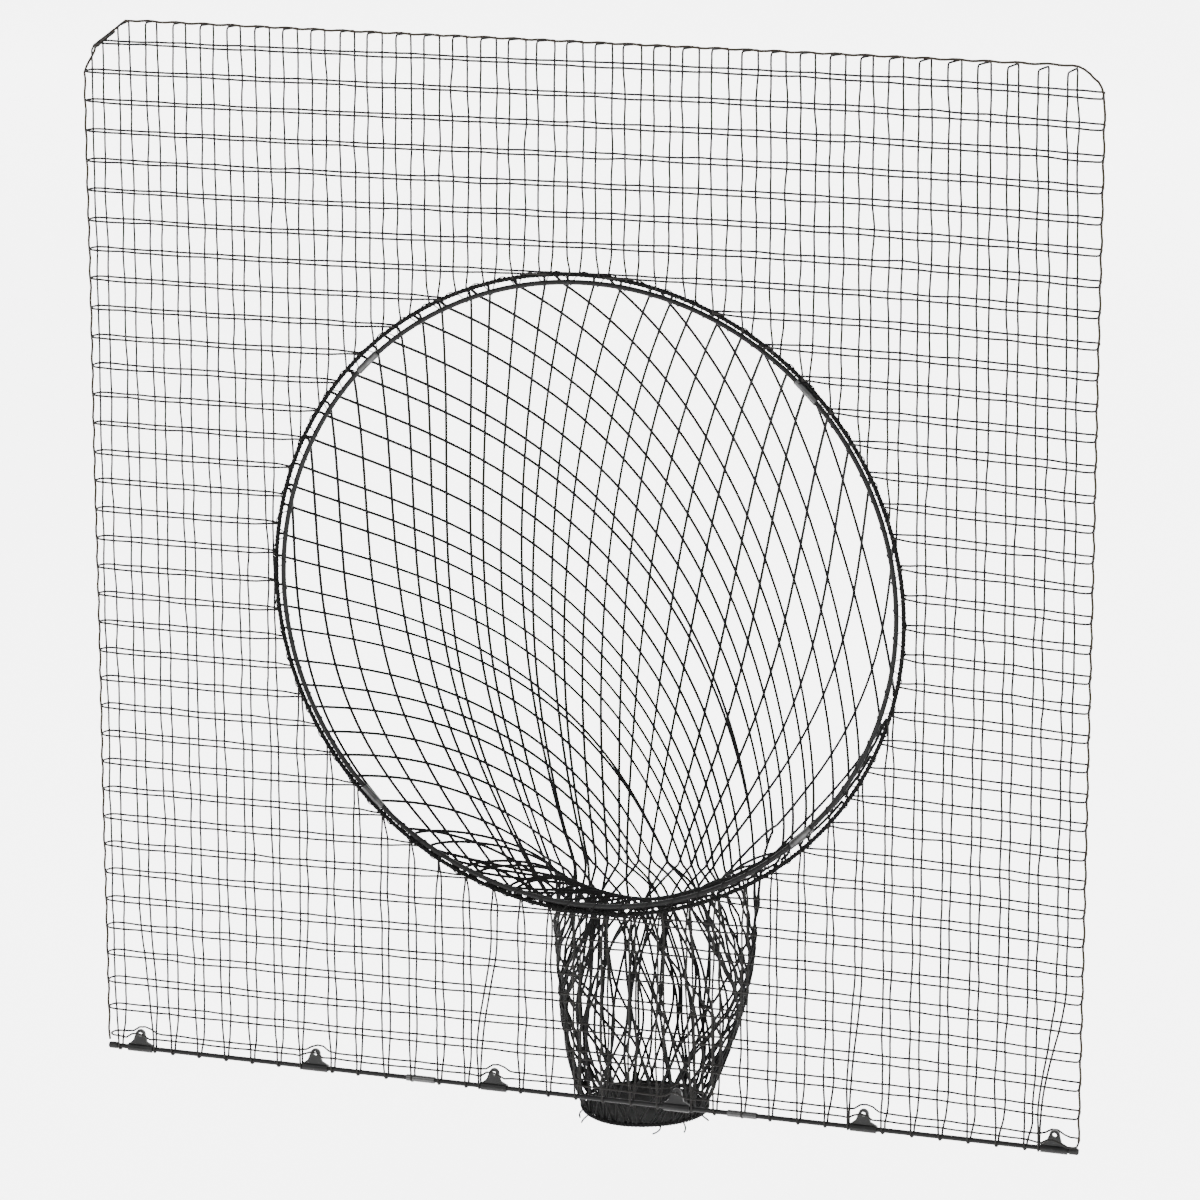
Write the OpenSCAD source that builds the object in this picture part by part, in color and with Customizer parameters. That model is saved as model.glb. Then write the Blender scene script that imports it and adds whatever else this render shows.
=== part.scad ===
// Ball-catching sock net: a double square-mesh net panel with a hooped round
// mouth, a net sock that hangs behind it, and a clipped rod along its lower edge.
// Millimetres, +Z up, +Y behind the panel, +X to the right seen from the front.
// The origin is the middle of the top fold, on the axis of the frame tube it takes.
// Nets are drawn as thin skins with the shape that the tied net takes up.

/* [Panel] */
// Width between the two side edge cords
panel_w = 2050; // [1900:10:2200]
// Height from the bottom rod's axis to the top edge cord
panel_h = 2136; // [2050:2:2220]
// Outer radius of the folds that wrap the frame tube
fold_r = 19.3; // [15:0.1:22]
// Thickness of a net skin
skin = 2.8; // [2:0.1:4]
// Radius of the edge cord
edge_cord_r = 2.5; // [2:0.1:3]
// Radius of the rounded corners of the edge cord
corner_r = 70; // [50:5:100]

/* [Mouth] */
// Sideways place of the mouth's centre
mouth_x = 10; // [-40:1:40]
// Height of the mouth's centre above the bottom rod
mouth_up = 1037; // [980:1:1060]
// Radius of the rope round the mouth, to its middle
rope_ring_r = 650; // [600:5:680]
// Radius of the rope itself
rope_r = 5; // [4:0.5:6]
// Radius of the fibreglass hoop, to its middle
hoop_ring_r = 631; // [580:1:632]
// Where the two net layers start to close onto the rope, from the mouth's centre
gather_r = 745; // [720:5:760]

/* [Rods] */
// Radius of the hoop's and the bottom rod's sections
rod_r = 5; // [4:0.1:6]
// Outer radius of the metal ferrules that join the sections
ferrule_r = 7; // [6.5:0.1:8]
// Length of a ferrule on the bottom rod
ferrule_l = 60; // [40:5:80]
// Radial gap between a rod and the parts that turn or push onto it
fit_gap = 0.05; // [0.02:0.01:0.1]

/* [Clips] */
// Spacing of the six clips along the bottom rod
clip_pitch = 386; // [370:1:386]
// Sideways place of the middle of the row of clips
clip_x = 11; // [-20:1:11]
// Length of a clip's sleeve along the rod
clip_l = 54; // [44:1:60]
// Height of the clip's eye above the rod's axis
eye_up = 30; // [26:1:36]
// Radius of the hole in the eye
eye_r = 4.5; // [3.5:0.1:5.5]
// Thickness of the web and the eye
web_t = 6; // [4:0.5:8]

/* [Sock] */
// Sideways place of the neck's centre
neck_x = 78; // [60:1:90]
// Distance of the sock's axis behind the panel
sock_y = 270; // [262:1:300]
// Height of the neck's centre above the bottom rod
neck_up = 380; // [370:5:390]
// Drop from the neck's front to its back
neck_tilt = 60; // [40:5:80]
// Radius of the neck
neck_r = 214; // [205:1:216]
// Radius of the sock at its hem
hem_r = 131; // [120:1:140]
// Depth of the hem below the bottom rod
hem_down = 104; // [100:2:130]
// Sideways place of the hem's centre
hem_x = 54; // [20:1:80]
// Gap between the funnel and the tube at the neck
neck_gap = 46; // [46:1:50]
// Radius of the hem cord
hem_cord_r = 5; // [4:0.5:6]

/* [Hidden] */
$fn = 64;

cord_z = fold_r + 0.2 + edge_cord_r;   // height of the top edge cord's axis
rod_z = cord_z - panel_h;              // height of the bottom rod's axis
side_x = panel_w / 2;                  // half the distance between the side cords
fold_x = side_x - cord_z;              // axis of the side folds
net_end = rod_z + 52;                  // the skins stop clear of the clips' eyes
mouth_z = rod_z + mouth_up;
neck_z = rod_z + neck_up;
hem_z = rod_z - hem_down;
third = 2 * (side_x - 5) / 3;          // length of one section of the bottom rod
bore_r = rod_r + fit_gap;

// ---- the sock's surface, as functions of the angle a round it and of 0..1 down it

// Point on the mouth circle where the funnel starts; a runs clockwise from the top
function mouth_p(a) = [mouth_x + 642 * sin(a), 7.5, mouth_z + 642 * cos(a)];
// Point on the tilted circle at the neck
function neck_p(a) = [neck_x + neck_r * sin(a), sock_y + neck_r * cos(a),
                      neck_z - neck_tilt / 2 * cos(a)];
// Way the funnel leaves the hoop: back, inwards and down, longer at the top
function leave(a, d) = (1.1 + 0.5 * cos(a)) * d * [-0.45 * sin(a), 0.85, -0.35 * cos(a) - 0.6];
// Cubic blend from the mouth circle to the neck circle
function funnel_p(a, v) =
    let(p = mouth_p(a), q = neck_p(a), d = norm(q - p), s = leave(a, d),
        e = 0.6 * d * [0, 0, -1])
    p * (2 * v^3 - 3 * v^2 + 1) + s * (v^3 - 2 * v^2 + v)
    + q * (3 * v^2 - 2 * v^3) + e * (v^3 - v^2);
// The tube hangs from the neck circle, narrows, and rounds in at the hem
function tube_p(a, v) =
    let(r = neck_r + (hem_r - neck_r) * (0.25 * v + 0.75 * v^3),
        top = neck_z - neck_tilt / 2 * cos(a) - neck_gap,
        low = hem_z + hem_cord_r + 0.4)
    [neck_x + (hem_x - neck_x) * v + r * sin(a), sock_y + r * cos(a),
     top + (low - top) * v];
function surf(k, a, v) = k == 0 ? funnel_p(a, v) : tube_p(a, v);
// Unit normal, out of the sock, by small differences
function out_n(k, a, v) =
    let(n = cross(surf(k, a + 0.5, v) - surf(k, a - 0.5, v),
                  surf(k, a, min(v + 0.005, 1)) - surf(k, a, max(v - 0.005, 0))))
    -n / norm(n);

// A closed thin shell over surface k: m steps round and n steps down
module shell(k, m, n, t) {
    ring = [for (j = [0:n]) for (i = [0:m - 1]) surf(k, i * 360 / m, j / n)];
    inner = [for (j = [0:n]) for (i = [0:m - 1])
             surf(k, i * 360 / m, j / n) - t * out_n(k, i * 360 / m, j / n)];
    o = (n + 1) * m;
    wall = [for (j = [0:n - 1]) for (i = [0:m - 1]) let(u = (i + 1) % m)
            [[j * m + i, j * m + u, (j + 1) * m + u], [j * m + i, (j + 1) * m + u, (j + 1) * m + i]]];
    skin_out = [for (w = wall) for (f = w) f];
    skin_in = [for (f = skin_out) [f[2] + o, f[1] + o, f[0] + o]];
    top = [for (i = [0:m - 1]) let(u = (i + 1) % m) for (f = [[i, o + i, o + u], [i, o + u, u]]) f];
    low = [for (i = [0:m - 1]) let(u = (i + 1) % m, b = n * m)
           for (f = [[b + i, o + b + u, o + b + i], [b + i, b + u, o + b + u]]) f];
    polyhedron(points = concat(ring, inner), faces = concat(skin_out, skin_in, top, low),
               convexity = 6);
}

// ---- the panel

// One net layer: a flat skin that closes onto the mouth rope; s is -1 front, 1 rear
module layer(s) {
    y = s * (fold_r - skin / 2);
    difference() {
        translate([-fold_x, y - skin / 2, net_end])
            cube([2 * fold_x, skin, -net_end]);
        translate([mouth_x, y, mouth_z]) rotate([90, 0, 0])
            cylinder(h = 3 * skin, r = gather_r, center = true, $fn = 128);
    }
    r0 = rope_ring_r + rope_r + 1;
    translate([mouth_x, 0, mouth_z]) rotate([-90 * s, 0, 0])
        rotate_extrude($fn = 128)
            polygon([[gather_r + 1, fold_r - skin], [gather_r + 1, fold_r],
                     [gather_r - 6, fold_r], [r0, 1 + skin], [r0, 1], [gather_r - 6, fold_r - skin]]);
}

// Half a pipe of net, the wrap round a frame tube, along +X from the origin
module wrap(l) {
    rotate([90, 0, 90]) linear_extrude(l) difference() {
        circle(r = fold_r);
        circle(r = fold_r - skin);
        translate([-50, -100 + 0.1]) square([100, 100]);
    }
}

module front_net() { color([0.13, 0.13, 0.14]) layer(-1); }
module rear_net() { color([0.16, 0.16, 0.17]) layer(1); }
module top_fold() {
    color([0.2, 0.2, 0.21])
        translate([-fold_x + 40, 0, 0]) wrap(2 * fold_x - 80);
}
module side_fold(s) {
    translate([s * fold_x, 0, net_end]) rotate([0, -90, 0]) mirror([0, 0, s < 0 ? 0 : 1])
        wrap(-net_end - 40);
}
module left_fold() { color([0.2, 0.2, 0.21]) side_fold(-1); }
module right_fold() { color([0.2, 0.2, 0.21]) side_fold(1); }

// The cord sewn along the top and side edges, with rounded corners
module edge_cord() {
    color([0.1, 0.09, 0.08]) {
        w = side_x - corner_r;
        translate([-w, 0, cord_z]) rotate([0, 90, 0]) cylinder(h = 2 * w, r = edge_cord_r);
        for (s = [-1, 1]) {
            translate([s * side_x, 0, rod_z + 12])
                cylinder(h = panel_h - 12 - corner_r, r = edge_cord_r);
            translate([s * w, 0, cord_z - corner_r]) mirror([s < 0 ? 1 : 0, 0, 0])
                rotate([90, 0, 0]) rotate_extrude(angle = 90)
                    translate([corner_r, 0]) circle(r = edge_cord_r);
        }
    }
}

// ---- the mouth

module ring_place() { translate([mouth_x, 0, mouth_z]) rotate([90, 0, 0]) children(); }

module mouth_rope() {
    color([0.06, 0.06, 0.06]) ring_place() rotate_extrude($fn = 128)
        translate([rope_ring_r, 0]) circle(r = rope_r);
}

// Section k of the hoop: a quarter, less the gap between ends inside a ferrule
module hoop_rod(k) {
    color([0.08, 0.08, 0.09]) ring_place() rotate([0, 0, 45 + 90 * k + 0.05])
        rotate_extrude(angle = 89.9, $fn = 128) translate([hoop_ring_r, 0]) circle(r = rod_r);
}
module hoop_rod_1() { hoop_rod(0); }
module hoop_rod_2() { hoop_rod(1); }
module hoop_rod_3() { hoop_rod(2); }
module hoop_rod_4() { hoop_rod(3); }

// Four short curved sleeves over the joins of the hoop
module hoop_ferrules() {
    color([0.3, 0.3, 0.31]) ring_place() for (k = [0:3])
        rotate([0, 0, 45 + 90 * k - 2.5]) rotate_extrude(angle = 5, $fn = 128)
            translate([hoop_ring_r, 0]) difference() {
                circle(r = ferrule_r);
                circle(r = bore_r);
            }
}

// ---- the bottom rod

module along_rod(x) { translate([x, 0, rod_z]) rotate([0, 90, 0]) children(); }

module rod_section(x0, l) { along_rod(x0) cylinder(h = l, r = rod_r); }
module bottom_rod_left() { color([0.07, 0.07, 0.07]) rod_section(-1.5 * third, third - 0.2); }
module bottom_rod_mid() { color([0.07, 0.07, 0.07]) rod_section(-third / 2, third); }
module bottom_rod_right() {
    color([0.07, 0.07, 0.07]) rod_section(third / 2 + 0.2, third - 0.2);
}
module rod_ferrules() {
    color([0.3, 0.3, 0.31]) for (s = [-1, 1]) along_rod(s * third / 2 - ferrule_l / 2)
        difference() {
            cylinder(h = ferrule_l, r = ferrule_r);
            translate([0, 0, -1]) cylinder(h = ferrule_l + 2, r = bore_r);
        }
}
// Two rubber caps, closed at the outer end
module rod_end_caps() {
    color([0.04, 0.04, 0.04]) for (s = [-1, 1]) mirror([s < 0 ? 1 : 0, 0, 0])
        along_rod(1.5 * third - 14) difference() {
            union() {
                cylinder(h = 16, r = 7);
                translate([0, 0, 16]) cylinder(h = 2.5, r1 = 7, r2 = 5, $fn = 48);
            }
            translate([0, 0, -1]) cylinder(h = 15.2, r = bore_r);
        }
}

// ---- the clips

// A sleeve that snaps onto the rod, a triangular web, and an eye for a tie
module clip(k) {
    color([0.05, 0.05, 0.05]) translate([clip_x + (k - 3.5) * clip_pitch, 0, rod_z]) difference() {
        union() {
            rotate([0, 90, 0]) cylinder(h = clip_l, r = 8.5, center = true);
            translate([0, web_t / 2, 0]) rotate([90, 0, 0]) linear_extrude(web_t)
                polygon([[-clip_l / 2 + 1, 4], [-clip_l / 2 + 1, 8], [-clip_l / 4 - 3, 16],
                         [-9, eye_up + 4], [9, eye_up + 4], [clip_l / 4 + 1, 14],
                         [clip_l / 2 - 1, 8], [clip_l / 2 - 1, 4]]);
            translate([0, 0, eye_up]) rotate([90, 0, 0])
                cylinder(h = web_t, r = 10.5, center = true);
        }
        rotate([0, 90, 0]) cylinder(h = clip_l + 2, r = bore_r, center = true);
        translate([0, 0, eye_up]) rotate([90, 0, 0])
            cylinder(h = web_t + 2, r = eye_r, center = true);
        translate([0, 0, -8]) cube([clip_l + 2, 7.2, 9], center = true);
    }
}
module clip_1() { clip(1); }
module clip_2() { clip(2); }
module clip_3() { clip(3); }
module clip_4() { clip(4); }
module clip_5() { clip(5); }
module clip_6() { clip(6); }

// ---- the sock

module sock_funnel() { color([0.1, 0.1, 0.1]) shell(0, 48, 14, skin); }
module sock_tube() { color([0.09, 0.09, 0.09]) shell(1, 40, 10, skin); }

module hem_place() { translate([hem_x, sock_y, hem_z]) children(); }
module hem_cord() {
    color([0.05, 0.05, 0.05]) hem_place() rotate_extrude()
        translate([hem_r - 2, 0]) circle(r = hem_cord_r);
}
// The round base closes the hem and drops open about the tape at its back
module base_flap() {
    color([0.04, 0.04, 0.04]) hem_place() difference() {
        translate([0, 0, -3]) cylinder(h = 3, r = hem_r - 8.5);
        translate([-60, hem_r - 22, -5]) cube([120, 40, 10]);
    }
}
module flap_hinge_tape() {
    color([0.1, 0.1, 0.1]) hem_place()
        translate([-42, hem_r - 21.7, -3]) cube([84, 8, 3]);
}
// A webbing pull tab under the front of the base
module pull_tab() {
    color([0.06, 0.06, 0.06]) hem_place() translate([22, -hem_r + 16, -5.2]) difference() {
        cube([24, 40, 2]);
        translate([12, 28, -1]) cylinder(h = 4, r = 3.05);
    }
}
module tab_rivet() {
    color([0.35, 0.35, 0.36]) hem_place() translate([34, -hem_r + 44, 0]) {
        translate([0, 0, -7.2]) cylinder(h = 1.9, r = 5);
        translate([0, 0, -5.3]) cylinder(h = 2.2, r = 3);
    }
}

front_net();
rear_net();
top_fold();
left_fold();
right_fold();
edge_cord();
mouth_rope();
hoop_rod_1();
hoop_rod_2();
hoop_rod_3();
hoop_rod_4();
hoop_ferrules();
bottom_rod_left();
bottom_rod_mid();
bottom_rod_right();
rod_ferrules();
rod_end_caps();
clip_1();
clip_2();
clip_3();
clip_4();
clip_5();
clip_6();
sock_funnel();
sock_tube();
hem_cord();
base_flap();
flap_hinge_tape();
pull_tab();
tab_rivet();
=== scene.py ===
import math
import bpy
import numpy as np
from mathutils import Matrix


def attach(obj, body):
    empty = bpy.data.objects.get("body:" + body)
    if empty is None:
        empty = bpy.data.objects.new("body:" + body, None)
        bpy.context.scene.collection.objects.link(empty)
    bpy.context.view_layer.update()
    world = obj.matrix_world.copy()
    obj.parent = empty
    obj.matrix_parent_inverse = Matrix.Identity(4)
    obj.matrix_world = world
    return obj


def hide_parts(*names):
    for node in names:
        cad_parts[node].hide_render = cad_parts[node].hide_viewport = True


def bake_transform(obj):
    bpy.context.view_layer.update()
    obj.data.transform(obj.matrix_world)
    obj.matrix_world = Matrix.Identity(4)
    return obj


# Looks for the ball-catching sock net. Metres, +Z up, +Y behind the panel.
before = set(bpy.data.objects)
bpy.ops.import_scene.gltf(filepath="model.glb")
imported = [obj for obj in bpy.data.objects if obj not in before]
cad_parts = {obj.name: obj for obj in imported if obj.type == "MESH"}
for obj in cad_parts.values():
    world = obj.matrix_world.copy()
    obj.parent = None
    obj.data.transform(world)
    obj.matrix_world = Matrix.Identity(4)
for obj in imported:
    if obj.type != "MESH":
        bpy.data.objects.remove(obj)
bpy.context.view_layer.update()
dice = np.random.default_rng(7)

# camera

camera = dict(place=(2.9776, -9.2138, 1.4674), yaw=17.67, pitch=14.74, lens=153.07)

def makeCamera():
    data = bpy.data.cameras.new("camera")
    data.lens = camera["lens"]
    data.sensor_width = 36
    data.clip_end = 100
    ob = bpy.data.objects.new("camera", data)
    ob.location = camera["place"]
    ob.rotation_euler = (math.radians(90 - camera["pitch"]), 0, math.radians(camera["yaw"]))
    bpy.context.collection.objects.link(ob)
    bpy.context.scene.camera = ob

makeCamera()
print("camera placed")

# shader helpers

class Sock:
    # wraps a node socket so that shader maths reads as ordinary sums
    def __init__(self, tree, socket):
        self.tree, self.socket = tree, socket

    def sum(self, kind, *others):
        node = self.tree.nodes.new("ShaderNodeMath")
        node.operation = kind
        for i, part in enumerate((self,) + others):
            if isinstance(part, Sock):
                self.tree.links.new(part.socket, node.inputs[i])
            else:
                node.inputs[i].default_value = part
        return Sock(self.tree, node.outputs[0])

    def turned(self, kind, other):
        node = self.tree.nodes.new("ShaderNodeMath")
        node.operation = kind
        node.inputs[0].default_value = other
        self.tree.links.new(self.socket, node.inputs[1])
        return Sock(self.tree, node.outputs[0])

    def __add__(self, o):
        return self.sum("ADD", o)

    def __radd__(self, o):
        return self.sum("ADD", o)

    def __sub__(self, o):
        return self.sum("SUBTRACT", o)

    def __rsub__(self, o):
        return self.turned("SUBTRACT", o)

    def __mul__(self, o):
        return self.sum("MULTIPLY", o)

    def __rmul__(self, o):
        return self.sum("MULTIPLY", o)

    def __truediv__(self, o):
        return self.sum("DIVIDE", o)

    def sine(self):
        return self.sum("SINE")

    def absolute(self):
        return self.sum("ABSOLUTE")

    def fraction(self):
        return self.sum("FRACT")

    def above(self, o):
        return self.sum("GREATER_THAN", o)


class Finish:
    # a material: node() makes any node from its type, its settings and its inputs
    def __init__(self, name):
        self.material = bpy.data.materials.new(name)
        self.material.use_nodes = True
        self.tree = self.material.node_tree
        self.shader = next(n for n in self.tree.nodes if n.type == "BSDF_PRINCIPLED")

    def node(self, kind, settings=(), inputs=(), out=0):
        node = self.tree.nodes.new(kind)
        for key, value in dict(settings).items():
            if key == "stops":
                ramp = node.color_ramp.elements
                while len(ramp) < len(value):
                    ramp.new(0.5)
                for stop, (at, colour) in zip(ramp, value):
                    stop.position, stop.color = at, (*colour, 1)
            else:
                setattr(node, key, value)
        for key, value in dict(inputs).items():
            if isinstance(value, Sock):
                self.tree.links.new(value.socket, node.inputs[key])
            else:
                node.inputs[key].default_value = value
        return Sock(self.tree, node.outputs[out])

    def put(self, **inputs):
        for key, value in inputs.items():
            name = key.replace("_", " ")
            if isinstance(value, Sock):
                self.tree.links.new(value.socket, self.shader.inputs[name])
            else:
                self.shader.inputs[name].default_value = value

    def split(self, vector):
        node = self.tree.nodes.new("ShaderNodeSeparateXYZ")
        self.tree.links.new(vector.socket, node.inputs[0])
        return [Sock(self.tree, node.outputs[i]) for i in range(3)]

    def place(self):
        return self.node("ShaderNodeTexCoord", out=3)

    def uv(self):
        return self.node("ShaderNodeTexCoord", out=2)

    def noise(self, vector, scale, detail=3.0, rough=0.55):
        return self.node("ShaderNodeTexNoise", inputs={
            "Vector": vector, "Scale": scale, "Detail": detail, "Roughness": rough})

    def ramp(self, factor, stops):
        return self.node("ShaderNodeValToRGB", {"stops": stops}, {"Fac": factor})

    def bump(self, height, strength, distance):
        return self.node("ShaderNodeBump", inputs={
            "Strength": strength, "Distance": distance, "Height": height})


def grey(level, warm=0.0):
    return (level * (1 + warm), level, level * (1 - warm))


# Twisted cord: UV.x is the length in metres and UV.y goes once round the cord.
# The plies are ridges |sin(pi * (length / lay + round * plies))|.
def twistFinish(name, low, high, lay, plies, warm=0.0, rough=0.78, depth=0.0004):
    f = Finish(name)
    along, around, _ = f.split(f.uv())
    phase = (along / lay + around) * plies
    ridge = (phase * math.pi).sine().absolute()
    fibre = f.noise(f.place(), 900.0, 2.0)
    dust = f.noise(f.place(), 6.0, 4.0)
    # The base colour is darker where ridge is low, in the grooves between the plies: painted shade. fibre
    # and dust add random tone.
    shade = ridge * 0.55 + fibre * 0.25 + dust * 0.35 - 0.1
    f.put(Base_Color=f.ramp(shade, [(0.15, grey(low, warm)), (0.85, grey(high, warm))]),
          Roughness=(fibre * 0.12 + (rough - 0.06)),
          Normal=f.bump(ridge * 0.8 + fibre * 0.35, 0.75, depth))
    f.put(Specular_IOR_Level=0.08)
    return f.material


# Braided cord: two crossing families of plies make small diamonds.
def braidFinish(name, low, high, lay, plies, warm=0.0, depth=0.0004):
    f = Finish(name)
    along, around, _ = f.split(f.uv())
    a = ((along / lay + around) * plies * math.pi).sine().absolute()
    b = ((along / lay - around) * plies * math.pi).sine().absolute()
    weave = a * b
    fibre = f.noise(f.place(), 1100.0, 2.0)
    dust = f.noise(f.place(), 7.0, 4.0)
    # The base colour is darker where weave is low, in the grooves round each diamond: painted shade. fibre
    # and dust add random tone.
    shade = weave * 0.6 + fibre * 0.2 + dust * 0.3 - 0.1
    f.put(Base_Color=f.ramp(shade, [(0.1, grey(low, warm)), (0.9, grey(high, warm))]),
          Roughness=fibre * 0.15 + 0.7,
          Normal=f.bump(weave + fibre * 0.2, 0.7, depth))
    f.put(Specular_IOR_Level=0.10)
    return f.material


# Pultruded rod: faint long streaks under a satin skin, with rubbed patches.
def rodFinish(name, axis, low, high):
    f = Finish(name)
    stretch = {"x": (3, 600, 600), "ring": (90, 90, 90)}[axis]
    where = f.node("ShaderNodeMapping", inputs={"Vector": f.place(), "Scale": stretch})
    streak = f.noise(where, 1.0, 4.0)
    rub = f.noise(f.place(), 11.0, 5.0)
    f.put(Base_Color=f.ramp(streak * 0.5 + rub * 0.5, [(0.3, grey(low)), (0.75, grey(high))]),
          Roughness=rub * 0.25 + 0.42,
          Normal=f.bump(streak, 0.15, 0.0003))
    f.put(Specular_IOR_Level=0.12)
    return f.material


# Moulded plastic: fine spark-eroded grain, a little gloss change, pale rubbed spots.
def mouldFinish(name, low, high, rough=0.42):
    f = Finish(name)
    grain = f.noise(f.place(), 1500.0, 2.0)
    rub = f.noise(f.place(), 35.0, 5.0)
    f.put(Base_Color=f.ramp(rub, [(0.35, grey(low)), (0.8, grey(high))]),
          Roughness=grain * 0.12 + rub * 0.15 + (rough - 0.1),
          Normal=f.bump(grain, 0.25, 0.00015))
    f.put(Specular_IOR_Level=0.15)
    return f.material


# Drawn steel: fine rings of drawing marks with small dull patches.
def steelFinish(name, scale):
    f = Finish(name)
    where = f.node("ShaderNodeMapping", inputs={"Vector": f.place(), "Scale": scale})
    mark = f.noise(where, 1.0, 3.0)
    dull = f.noise(f.place(), 60.0, 4.0)
    f.put(Base_Color=f.ramp(mark * 0.6 + dull * 0.4, [(0.3, grey(0.030)), (0.75, grey(0.075))]),
          Roughness=dull * 0.25 + 0.26, Normal=f.bump(mark, 0.2, 0.0002))
    f.put(Metallic=1.0)
    return f.material


# Woven cloth on the base: plain weave, warp and weft ridges from UV metres.
def clothFinish(name, low, high, thread):
    f = Finish(name)
    u, v, _ = f.split(f.uv())
    warp = (u * (math.pi / thread)).sine().absolute()
    weft = (v * (math.pi / thread)).sine().absolute()
    over = ((u / thread + v / thread) * 0.5).fraction().above(0.5)
    weave = warp * over + weft * (1 - over)
    fold = f.noise(f.place(), 14.0, 4.0)
    # The base colour is darker where weave is low, in the gaps between threads, which is painted shade. It
    # also rises and falls with the fold noise that bumps the cloth, which is painted light and shade of the
    # folds.
    f.put(Base_Color=f.ramp(weave * 0.4 + fold * 0.6, [(0.2, grey(low)), (0.8, grey(high))]),
          Roughness=weave * 0.1 + 0.76, Normal=f.bump(weave * 0.6 + fold * 0.4, 0.5, 0.0005))
    f.put(Specular_IOR_Level=0.06)
    return f.material


panelTwine = twistFinish("panel twine", 0.004, 0.016, 0.008, 3, warm=0.05)
sockTwine = twistFinish("sock twine", 0.001, 0.005, 0.010, 3)
ropeFinish = twistFinish("mouth rope", 0.001, 0.006, 0.012, 2, depth=0.0003)
laceFinish = braidFinish("lacing", 0.002, 0.008, 0.006, 3)
edgeFinish = braidFinish("edge cord", 0.009, 0.028, 0.010, 3, warm=0.25)
hoopFinish = rodFinish("hoop rod", "ring", 0.001, 0.006)
barFinish = rodFinish("bottom rod", "x", 0.002, 0.008)
clipFinish = mouldFinish("clip plastic", 0.002, 0.008)
capFinish = mouldFinish("cap rubber", 0.006, 0.016, 0.72)
ringSteel = steelFinish("ferrule steel", (60, 60, 60))
barSteel = steelFinish("rod ferrule steel", (900, 20, 20))
baseCloth = clothFinish("base cloth", 0.001, 0.004, 0.0011)
webFinish = clothFinish("webbing", 0.002, 0.008, 0.0016)
threadFinish = twistFinish("stitching", 0.004, 0.012, 0.002, 2, depth=0.0001)
print("finishes made")

# mesh helpers

def smoothStep(x):
    x = np.clip(x, 0, 1)
    return x * x * (3 - 2 * x)


def makeObject(name, points, faces, uv, material):
    mesh = bpy.data.meshes.new(name)
    mesh.from_pydata(points.tolist(), [], faces)
    layer = mesh.uv_layers.new(name="UVMap")
    layer.data.foreach_set("uv", np.asarray(uv, np.float32).ravel())
    mesh.polygons.foreach_set("use_smooth", np.ones(len(mesh.polygons), bool))
    mesh.materials.append(material)
    mesh.update()
    ob = bpy.data.objects.new(name, mesh)
    bpy.context.collection.objects.link(ob)
    return ob


# A circle of the given radius carried along each path. At each point the circle lies
# across the tangent, and its first axis is the reference direction less its part
# along the tangent. Open paths get a flat cap at both ends.
def carry(name, paths, refs, radius, sides, material, closed=False):
    points, faces, uv = [], [], []
    start = 0
    around = np.arange(sides) * 2 * math.pi / sides
    for k, path in enumerate(paths):
        path = np.asarray(path, float)
        n = len(path)
        ref = np.broadcast_to(np.asarray(refs[k] if isinstance(refs, list) else refs, float), path.shape)
        if closed:
            tangent = np.roll(path, -1, 0) - np.roll(path, 1, 0)
        else:
            tangent = np.gradient(path, axis=0)
        tangent /= np.linalg.norm(tangent, axis=1)[:, None]
        side = ref - (ref * tangent).sum(1)[:, None] * tangent
        side /= np.maximum(np.linalg.norm(side, axis=1), 1e-9)[:, None]
        other = np.cross(tangent, side)
        r = radius[k] if isinstance(radius, list) else radius
        r = np.broadcast_to(np.asarray(r, float), (n,))[:, None, None]
        ring = path[:, None] + r * (np.cos(around)[None, :, None] * side[:, None]
                                    + np.sin(around)[None, :, None] * other[:, None])
        points.append(ring.reshape(-1, 3))
        step = np.linalg.norm(np.diff(path, axis=0, append=path[:1]), axis=1)
        length = np.concatenate([[0], np.cumsum(step)])
        rows = n if closed else n - 1
        i, j = np.meshgrid(np.arange(rows), np.arange(sides), indexing="ij")
        nextRow, nextSide = (i + 1) % n, (j + 1) % sides
        quads = np.stack([i * sides + j, i * sides + nextSide,
                          nextRow * sides + nextSide, nextRow * sides + j], -1).reshape(-1, 4) + start
        faces += quads.tolist()
        l0, l1 = length[i], length[i + 1]
        v0, v1 = j / sides, (j + 1) / sides
        uv.append(np.stack([np.stack([l0, v0], -1), np.stack([l0, v1], -1),
                            np.stack([l1, v1], -1), np.stack([l1, v0], -1)], 2).reshape(-1, 2))
        if not closed:
            faces.append((start + np.arange(sides)[::-1]).tolist())
            faces.append((start + (n - 1) * sides + np.arange(sides)).tolist())
            flat = np.stack([np.cos(around), np.sin(around)], -1) * 0.001
            uv += [flat[::-1], flat + length[n - 1]]
        start += n * sides
    return makeObject(name, np.concatenate(points), faces, np.concatenate(uv), material)


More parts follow.
